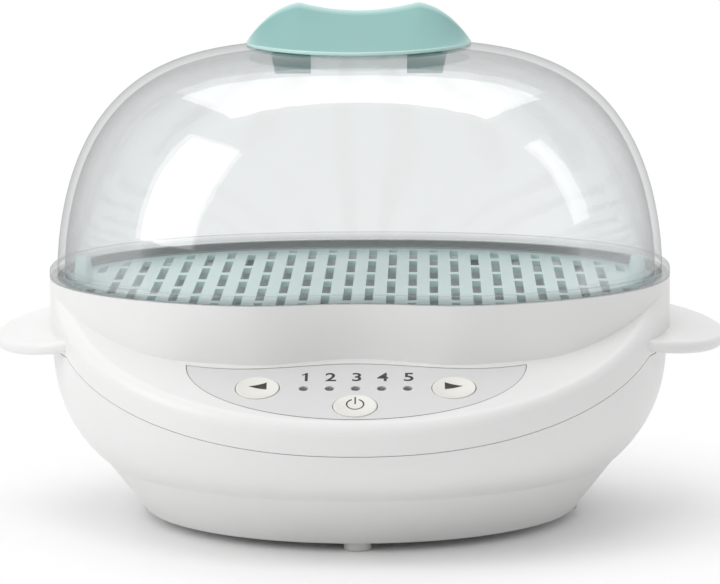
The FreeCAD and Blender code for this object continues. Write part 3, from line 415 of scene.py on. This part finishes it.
def finished(bm, name, body, finish, smooth=30.0):
    """Turn a bmesh into a piece that rides on a body; edges sharper than smooth degrees stay crisp."""
    mesh = bpy.data.meshes.new(name)
    bm.to_mesh(mesh)
    bm.free()
    mesh.shade_smooth()
    mesh.set_sharp_from_angle(angle=math.radians(smooth))
    mesh.materials.append(finish)
    piece = bpy.data.objects.new(name, mesh)
    bpy.context.scene.collection.objects.link(piece)
    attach(piece, body)
    print(name, "faces:", len(mesh.polygons))
    return piece


def soften(bm, width, sharper):
    """Round the edges that turn by more than sharper degrees."""
    limit = math.radians(sharper)
    edges = [edge for edge in bm.edges if edge.is_manifold and edge.calc_face_angle() > limit]
    bmesh.ops.bevel(bm, geom=edges, offset=width, offset_type="OFFSET", affect="EDGES",
                    segments=BEVEL_SEGMENTS, profile=0.5, material=-1)


def points_of(geometry):
    """The vertices among what an operator returned."""
    return [item for item in geometry if isinstance(item, bmesh.types.BMVert)]


# %% [markdown]
# ## Pinch handle
# The handle is one saddle-shaped wing of translucent plastic: a ridge runs from tip to tip, dips in the
# middle, and falls away in a long hollow to a round brim that rests on the lid. A turned shape with scoops
# cut from it would leave cheeks at the sides. Here a flat grid is squeezed into a disc instead, and each of
# its points is lifted by a rule: the height of the ridge above that place, times a hollow curve that ends
# at the brim. The underside is a copy of the grid, laid a hair above the lid by a ray cast on to it, and a
# bridge between the two rims makes the lip. Two snap legs with barbs, drawn as an outline and extruded, go
# down through the slots of the lid.

# %% The lid under the handle
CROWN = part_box("dome_lid")[1].z / MM
CROWN_DROP = 10.0
RAY_TOP = 1.0

lid_mesh = bmesh.new()
lid_mesh.from_mesh(nodes["dome_lid"].data)
lid_surface = BVHTree.FromBMesh(lid_mesh)
lid_mesh.free()


def lid_height(x, y):
    """Height of the lid's outside at a place, in millimetres; its crown where a leg's slot is."""
    hit = lid_surface.ray_cast(Vector((x * MM, y * MM + WELL_Y, RAY_TOP)), Vector((0, 0, -1)))[0]
    return hit.z / MM if hit and hit.z / MM > CROWN - CROWN_DROP else CROWN


print("crown of the lid at", round(CROWN, 2), "mm")

# %% The ridge
HANDLE_REACH = 39.8
RIDGE_FOOT = 168.5
RIDGE_RISE = 15.3
SIDE_POWER = 4
SADDLE_LOW = 179.5
SADDLE_RISE = 2.9
HUMP_X = 20.7
HUMP_SOFTNESS = 0.5


def ridge_height(x):
    """The lower of the saddle and the falling sides, with a soft change from one to the other."""
    saddle = SADDLE_LOW + SADDLE_RISE * (x / HUMP_X) ** 2
    side = RIDGE_FOOT + RIDGE_RISE * (1 - (abs(x) / HANDLE_REACH) ** SIDE_POWER)
    return (saddle + side - math.hypot(saddle - side, HUMP_SOFTNESS)) / 2


print("ridge in the middle and at a hump, in mm:", [round(ridge_height(x), 1) for x in (0, HUMP_X)])

# %% The wing
GRID_ACROSS = 72
GRID_DEEP = 36
LIP_HEIGHT = 1.2
LIP_ROUND = 0.3
LIP_SHARP = 50
SEAT_GAP = 0.25
RIDGE_WIDTH = 0.03
HOLLOW_POWER = 1.55
RIDGE_GLOW = 0.10
BRIM_GLOW = 0.05
TIP_GLOW = 30
TIP_MERGE = 1e-3

bm = bmesh.new()
painted_glow = bm.verts.layers.float.new(PAINTED_GLOW)
bmesh.ops.create_grid(bm, x_segments=GRID_ACROSS, y_segments=GRID_DEEP, size=1.0)
on_grid = {}
for vert in bm.verts:
    across = HANDLE_REACH * math.cos(vert.co.x * math.pi / 2)
    on_grid[vert] = (vert.co.y, across)
    vert.co = Vector((HANDLE_REACH * math.sin(vert.co.x * math.pi / 2), vert.co.y * across, 0))
under = bmesh.ops.duplicate(bm, geom=bm.verts[:] + bm.edges[:] + bm.faces[:])["vert_map"]
for vert, (side, across) in on_grid.items():
    brim = lid_height(vert.co.x, across) + SEAT_GAP + LIP_HEIGHT
    near = (math.hypot(side, RIDGE_WIDTH) - RIDGE_WIDTH) / (math.hypot(1, RIDGE_WIDTH) - RIDGE_WIDTH)
    climb = max(ridge_height(vert.co.x) - brim, 0)
    # painted glow and highlight: one on the ridge, at the brim and at the tips, falling to zero in the hollow
    glow = max(1 - abs(side) / RIDGE_GLOW, 1 - (1 - abs(side)) / BRIM_GLOW, 0)
    vert[painted_glow] = under[vert][painted_glow] = max(glow, (abs(vert.co.x) / HANDLE_REACH) ** TIP_GLOW)
    under[vert].co.z = lid_height(vert.co.x, vert.co.y) + SEAT_GAP
    vert.co.z = brim + climb * (1 - near) ** HOLLOW_POWER
bmesh.ops.remove_doubles(bm, verts=bm.verts, dist=TIP_MERGE)
bmesh.ops.bridge_loops(bm, edges=[edge for edge in bm.edges if edge.is_boundary])
bmesh.ops.recalc_face_normals(bm, faces=bm.faces)
soften(bm, LIP_ROUND, LIP_SHARP)
print("wing faces:", len(bm.faces))

# %% The snap legs
LEG_HALF = 2.0
LEG_OUTLINE = [(17.1, 172.2), (17.1, 157.3), (29.7, 157.3), (31.2, 164.4), (29.7, 164.4), (29.7, 172.2)]
TO_WELL = Matrix.Translation((0, WELL_Y, 0)) @ Matrix.Scale(MM, 4)

for side in (-1, 1):
    corners = [bm.verts.new((side * x, -LEG_HALF, z)) for x, z in LEG_OUTLINE]
    leg = bmesh.ops.extrude_face_region(bm, geom=[bm.faces.new(corners)])["geom"]
    bmesh.ops.translate(bm, vec=(0, 2 * LEG_HALF, 0), verts=points_of(leg))
bmesh.ops.recalc_face_normals(bm, faces=bm.faces)
bmesh.ops.transform(bm, matrix=TO_WELL, verts=bm.verts)
handle = finished(bm, "pinch_handle", "lid", teal_plastic, LIP_SHARP)
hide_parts("lid_handle")

# %% [markdown]
# ## The plane of the ledge
# Buttons, lamps and signs all lie on the sloping ledge. They are drawn flat around the origin, in
# millimetres, and one matrix tips them on to the slope, so every piece agrees about where the ledge is.

# %% From flat drawing to ledge
LEDGE_TILT = math.radians(20.0)
LEDGE_Y = -80.5 * MM
LEDGE_Z = 65.0 * MM
LEDGE_FOOT = Vector((0.0, LEDGE_Y + WELL_Y, LEDGE_Z))
INLAY_FACE = -0.2
TO_LEDGE = Matrix.Translation(LEDGE_FOOT) @ Matrix.Rotation(LEDGE_TILT, 4, "X") @ Matrix.Scale(MM, 4)
print("ledge foot in mm:", [round(value / MM, 2) for value in LEDGE_FOOT])

# %% [markdown]
# ## Buttons
# Each button is a pearly cap with a dished face and a collar that stops it falling out. It could be a
# cylinder with a sphere cut from it, but Boolean cuts leave long thin faces that shade badly. A turned shape
# is cleaner: one vertex is spun into the arc of the dish, straight edges add the rim, wall and collar, and a
# second spin goes around the button's own axis. A small bevel takes the edge off the rim, as the mould does.

# %% Turning
SPIN_MERGE = 1e-4


def joined(bm, start, corners):
    """Draw straight edges from a vertex through a list of (radius, height) corners."""
    for radius, height in corners:
        corner = bm.verts.new((radius, 0, height))
        bm.edges.new((start, corner))
        start = corner


def turned(bm, steps):
    """Spin everything drawn so far once around Z and close it."""
    bmesh.ops.spin(bm, geom=bm.verts[:] + bm.edges[:], cent=(0, 0, 0), axis=(0, 0, 1), dvec=(0, 0, 0),
                   angle=math.tau, steps=steps, use_merge=True)
    bmesh.ops.remove_doubles(bm, verts=bm.verts, dist=SPIN_MERGE)
    bmesh.ops.recalc_face_normals(bm, faces=bm.faces)


# %% Button caps
CAP_RADIUS = 7.3
CAP_RIM = 6.9
CAP_PROUD = 0.1
CAP_DISH = 1.1
CAP_STEPS = 64
CAP_ROUND = 0.25
CAP_SHARP = 15
COLLAR_RADIUS = 8.6
COLLAR_TOP = -4.8
COLLAR_FOOT = -5.8
DISH_RADIUS = (CAP_RIM ** 2 + CAP_DISH ** 2) / (2 * CAP_DISH)
DISH_LOW = CAP_PROUD - CAP_DISH
DISH_STEPS = 8
CAP_PLACES = {"left": (-33.0, -15.2), "right": (33.0, -15.2), "power": (0.0, -27.5)}

for side, (u, v) in CAP_PLACES.items():
    bm = bmesh.new()
    low = bm.verts.new((0, 0, DISH_LOW))
    arc = bmesh.ops.spin(bm, geom=[low], cent=(0, 0, DISH_LOW + DISH_RADIUS), axis=(0, -1, 0),
                         dvec=(0, 0, 0), angle=math.asin(CAP_RIM / DISH_RADIUS), steps=DISH_STEPS)
    rim = points_of(arc["geom_last"])[0]
    joined(bm, rim, [(CAP_RADIUS, CAP_PROUD), (CAP_RADIUS, COLLAR_TOP), (COLLAR_RADIUS, COLLAR_TOP),
                     (COLLAR_RADIUS, COLLAR_FOOT), (0, COLLAR_FOOT)])
    turned(bm, CAP_STEPS)
    soften(bm, CAP_ROUND, CAP_SHARP)
    bmesh.ops.transform(bm, matrix=TO_LEDGE @ Matrix.Translation((u, v, 0)), verts=bm.verts)
    cap = finished(bm, "cap_" + side, "button_" + side, pearl_plastic)
    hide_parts("button_" + side)

# %% [markdown]
# ## Signs on the buttons
# The side buttons carry a long arrow and the front one the usual power sign. They are printed on the dished
# face, so a flat sign would float at its ends. Each is drawn flat, cut into small faces, and its points are
# then dropped on to the dish. An extrusion gives the print a few hundredths of a millimetre of ink, so it
# is a closed piece.

# %% Printing
PRINT_LIFT = 0.005
INK_THICKNESS = 0.03
SIGN_LIFT = 2.2


def inked(bm):
    """Give a flat print its thickness, upwards."""
    shell = bmesh.ops.extrude_face_region(bm, geom=bm.faces[:])["geom"]
    bmesh.ops.translate(bm, vec=(0, 0, INK_THICKNESS), verts=points_of(shell))
    bmesh.ops.recalc_face_normals(bm, faces=bm.faces)


def printed(bm, side, name):
    """Drop a flat drawing on to the dish of a button and make it a piece."""
    bmesh.ops.translate(bm, vec=(0, SIGN_LIFT, 0), verts=bm.verts)
    for vert in bm.verts:
        sunk = DISH_RADIUS - math.sqrt(DISH_RADIUS ** 2 - vert.co.x ** 2 - vert.co.y ** 2)
        vert.co.z = DISH_LOW + sunk + PRINT_LIFT
    inked(bm)
    u, v = CAP_PLACES[side]
    bmesh.ops.transform(bm, matrix=TO_LEDGE @ Matrix.Translation((u, v, 0)), verts=bm.verts)
    finished(bm, name, "button_" + side, sign_print)


# %% Arrows
ARROW_LENGTH = 6.1
ARROW_HEIGHT = 4.0
ARROW_CUTS = 5

for side, way in (("left", -1), ("right", 1)):
    bm = bmesh.new()
    tip = bm.verts.new((way * ARROW_LENGTH / 2, 0, 0))
    back = [bm.verts.new((-way * ARROW_LENGTH / 2, y * ARROW_HEIGHT / 2, 0)) for y in (-1, 1)]
    bm.faces.new((tip, *back))
    bmesh.ops.subdivide_edges(bm, edges=bm.edges, cuts=ARROW_CUTS, use_grid_fill=True)
    printed(bm, side, "arrow_" + side)

# %% Power sign
SIGN_RADIUS = 2.85
SIGN_STROKE = 0.5
SIGN_GAP = math.radians(24)
SIGN_STEPS = 40
BAR_TOP = 3.9
BAR_FOOT = 0.3
BAR_CUTS = 6
UNIT_HALF = 0.5

bm = bmesh.new()
start = math.pi / 2 + SIGN_GAP
stroke = [bm.verts.new((radius * math.cos(start), radius * math.sin(start), 0))
          for radius in (SIGN_RADIUS - SIGN_STROKE / 2, SIGN_RADIUS + SIGN_STROKE / 2)]
bmesh.ops.spin(bm, geom=[*stroke, bm.edges.new(stroke)], cent=(0, 0, 0), axis=(0, 0, 1), dvec=(0, 0, 0),
               angle=math.tau - 2 * SIGN_GAP, steps=SIGN_STEPS)
bar = bmesh.ops.create_grid(bm, x_segments=1, y_segments=BAR_CUTS, size=UNIT_HALF)["verts"]
bmesh.ops.scale(bm, vec=(SIGN_STROKE, BAR_TOP - BAR_FOOT, 1), verts=bar)
bmesh.ops.translate(bm, vec=(0, (BAR_TOP + BAR_FOOT) / 2, 0), verts=bar)
printed(bm, "power", "power_sign")

# %% [markdown]
# ## Painted shadow line around the inlay
# A fine grey line follows the curved lower edge of the inlay, where it meets its recess: a painted shadow,
# a dark strip laid for the shade in the narrow gap there. The edge is half an ellipse. A flat ring that is
# only stretched would be too wide at its sides, so an edge is spun into half a ring, and its points are then
# moved to both sides of the ellipse, along the ellipse's normal. The line is widest in front, where it is
# seen at a slant, and fades out towards the corners.

# %% Painted shadow around the inlay
INLAY_HALF = 57.5
INLAY_DROP = 37.3
INLAY_TOP = 0.5
LINE_INSIDE = 0.55
LINE_OUTSIDE = 0.1
LINE_STEPS = 96
LINE_SHORT = math.radians(3.0)
LINE_RING_INNER = 1.0
LINE_RING_OUTER = 2.0

bm = bmesh.new()
start = [bm.verts.new((-radius * math.cos(LINE_SHORT), -radius * math.sin(LINE_SHORT), 0))
         for radius in (LINE_RING_INNER, LINE_RING_OUTER)]
bmesh.ops.spin(bm, geom=[*start, bm.edges.new(start)], cent=(0, 0, 0), axis=(0, 0, 1), dvec=(0, 0, 0),
               angle=math.pi - 2 * LINE_SHORT, steps=LINE_STEPS)
for vert in bm.verts:
    across, along = vert.co.xy.normalized()
    outer = vert.co.length > (LINE_RING_INNER + LINE_RING_OUTER) / 2
    reach = LINE_OUTSIDE if outer else LINE_INSIDE * along
    outward = Vector((across / INLAY_HALF, along / INLAY_DROP, 0)).normalized()
    edge = Vector((INLAY_HALF * across, INLAY_TOP + INLAY_DROP * along, INLAY_FACE + PRINT_LIFT))
    vert.co = edge + reach * outward
inked(bm)
bmesh.ops.transform(bm, matrix=TO_LEDGE, verts=bm.verts)
# the strip is painted shadow in the gap under the inlay's edge
finished(bm, "inlay_gap_shadow", "base", painted_gap_shadow)

# %% [markdown]
# ## Numbers over the lamps
# The five lamps are numbered. A text object knows how to draw digits, but its one has no flag, so that one
# is an outline of eight corners. Each digit is scaled to the height wanted, centred, and laid on the inlay
# as a print a few hundredths of a millimetre thick.

# %% Flat digits
DIGIT_BOLD = 0.016
ONE_OUTLINE = [(0.14, -0.5), (0.14, 0.5), (0.03, 0.5), (-0.06, 0.39), (-0.21, 0.31), (-0.21, 0.18),
               (-0.03, 0.28), (-0.03, -0.5)]


def flat_digit(number):
    """A digit as flat faces: the one is drawn with its flag, the others are written."""
    bm = bmesh.new()
    if number == 1:
        bm.faces.new([bm.verts.new((x, y, 0)) for x, y in ONE_OUTLINE])
        return bm
    text = bpy.data.curves.new("digit", "FONT")
    text.body = str(number)
    text.offset = DIGIT_BOLD
    writer = bpy.data.objects.new("digit", text)
    bm.from_mesh(bpy.data.meshes.new_from_object(writer))
    bpy.data.objects.remove(writer)
    return bm


# %% Lamp numbers
LAMP_COUNT = 5
LAMP_PITCH = 8.75
DIGIT_U = 0.3
DIGIT_V = -7.7
DIGIT_HEIGHT = 5.6

for index in range(LAMP_COUNT):
    bm = flat_digit(index + 1)
    low = [min(vert.co[axis] for vert in bm.verts) for axis in (0, 1)]
    high = [max(vert.co[axis] for vert in bm.verts) for axis in (0, 1)]
    bmesh.ops.translate(bm, vec=(-(low[0] + high[0]) / 2, -(low[1] + high[1]) / 2, 0), verts=bm.verts)
    enlarge = DIGIT_HEIGHT / (high[1] - low[1])
    bmesh.ops.scale(bm, vec=(enlarge, enlarge, 1), verts=bm.verts)
    inked(bm)
    u = (index - (LAMP_COUNT - 1) / 2) * LAMP_PITCH + DIGIT_U
    on_inlay = Matrix.Translation((u, DIGIT_V, INLAY_FACE + PRINT_LIFT))
    bmesh.ops.transform(bm, matrix=TO_LEDGE @ on_inlay, verts=bm.verts)
    finished(bm, "lamp_number_" + str(index + 1), "base", sign_print)

# %% [markdown]
# ## Floor
# The photograph is a product shot on a white sweep. The floor near the object is an ordinary pale surface,
# which keeps the shadow. Further out it turns to plain white, for rays that come from the camera, a mirror
# or clear plastic, so the background is white without more light on the object.

# %% Floor
FLOOR_RADIUS = 6.0
FLOOR_SIDES = 64
FLOOR_PALE = (0.97, 0.97, 0.97)
FLOOR_DRIFT = 0.01
FLOOR_BLOTCH = 0.05
FLOOR_ROUGH = 0.7
FADE_START = 0.05
FADE_END = 0.23


def seen_ray(paint):
    """1 for rays from the camera, a mirror or clear plastic, and 0 for others."""
    camera, glossy, clear = (paint.add("ShaderNodeLightPath", {}, {}, name)
                             for name in ("Is Camera Ray", "Is Glossy Ray", "Is Transmission Ray"))
    return camera.most(glossy).most(clear)


def make_floor(paint):
    reach = paint.add("ShaderNodeVectorMath", {"operation": "LENGTH"}, {0: paint.place()}, "Value")
    fade = paint.add("ShaderNodeMapRange", {"interpolation_type": "SMOOTHSTEP"},
                     {"Value": reach, "From Min": FADE_START, "From Max": FADE_END})
    pale = paint.mix(paint.noise(FLOOR_BLOTCH), tone(FLOOR_PALE, 1 - FLOOR_DRIFT),
                     tone(FLOOR_PALE, 1 + FLOOR_DRIFT))
    ground = paint.surface({"Base Color": pale, "Roughness": FLOOR_ROUGH})
    white = paint.add("ShaderNodeEmission", {}, {"Color": WHITE, "Strength": 1.0})
    return paint.add("ShaderNodeMixShader", {}, {0: fade * seen_ray(paint), 1: ground, 2: white})


bm = bmesh.new()
bmesh.ops.create_circle(bm, cap_ends=True, radius=FLOOR_RADIUS, segments=FLOOR_SIDES)
mesh = bpy.data.meshes.new("floor")
bm.to_mesh(mesh)
bm.free()
mesh.materials.append(material("floor_pale", make_floor))
floor = bpy.data.objects.new("floor", mesh)
bpy.context.scene.collection.objects.link(floor)

# %% [markdown]
# ## World and lamps
# The light is soft: a white world that lights at half strength, one soft box high overhead and a little
# behind, one at the left, a weak one at the right, and one high in front. A picture of a studio wrapped
# around the scene could light it too, but lamps can be moved one by one until the shading agrees. The last
# one lights the front without a mirror image of its own in the lid.

# %% World and lamps
AMBIENT = 0.50
MIDDLE = (0.0, 0.0, 0.09)

world = bpy.data.worlds.new("studio")
world.use_nodes = True
world.node_tree.nodes.clear()
sky = Paint(world.node_tree)
light = AMBIENT + (1 - AMBIENT) * seen_ray(sky)
glow = sky.add("ShaderNodeBackground", {}, {"Color": WHITE, "Strength": light})
sky.add("ShaderNodeOutputWorld", {}, {"Surface": glow})
bpy.context.scene.world = world


def soft_box(name, place, size, watts):
    """A rectangular lamp at place that faces the middle of the object."""
    lamp = bpy.data.lights.new(name, "AREA")
    lamp.shape = "RECTANGLE"
    lamp.size, lamp.size_y = size
    lamp.energy = watts
    holder = bpy.data.objects.new(name, lamp)
    turn = (Vector(MIDDLE) - Vector(place)).to_track_quat("-Z", "Y").to_matrix().to_4x4()
    holder.matrix_world = Matrix.Translation(place) @ turn
    bpy.context.scene.collection.objects.link(holder)
    print("lamp:", name, watts, "W")
    return holder


soft_box("overhead", place=(0.0, 0.40, 1.25), size=(1.5, 0.9), watts=4.2)
soft_box("left_key", place=(-1.0, -0.45, 0.68), size=(0.62, 0.85), watts=4.1)
soft_box("right_fill", place=(1.15, -0.1, 0.7), size=(0.25, 0.7), watts=0.38)
front_top = soft_box("front_top", place=(-0.2, -0.6, 1.45), size=(1.2, 0.7), watts=6.0)
front_top.visible_glossy = False

# %% [markdown]
# ## Camera
# The photograph was taken with a long lens from a little above and almost straight in front: the far and
# near rims of the band differ little in width. The distance, height and lens below come from that.

# %% Camera
EYE_TURN = math.radians(1.0)
EYE_DISTANCE = 1.44
EYE_HEIGHT = 0.283
EYE_PITCH = math.radians(8.075)
EYE_ROLL = math.radians(-0.28)
LENS = 203.25
SENSOR_WIDTH = 36.0

camera = bpy.data.cameras.new("camera")
camera.lens = LENS
camera.sensor_width = SENSOR_WIDTH
eye = bpy.data.objects.new("camera", camera)
eye_x = math.sin(EYE_TURN) * EYE_DISTANCE
eye_y = WELL_Y - math.cos(EYE_TURN) * EYE_DISTANCE
turn = (Matrix.Rotation(EYE_TURN, 4, "Z") @ Matrix.Rotation(math.pi / 2 - EYE_PITCH, 4, "X")
        @ Matrix.Rotation(EYE_ROLL, 4, "Z"))
eye.matrix_world = Matrix.Translation((eye_x, eye_y, EYE_HEIGHT)) @ turn
bpy.context.scene.collection.objects.link(eye)
bpy.context.scene.camera = eye
bpy.context.scene.view_settings.view_transform = "Standard"
print("camera at", round(eye_x, 3), round(eye_y, 3), EYE_HEIGHT)
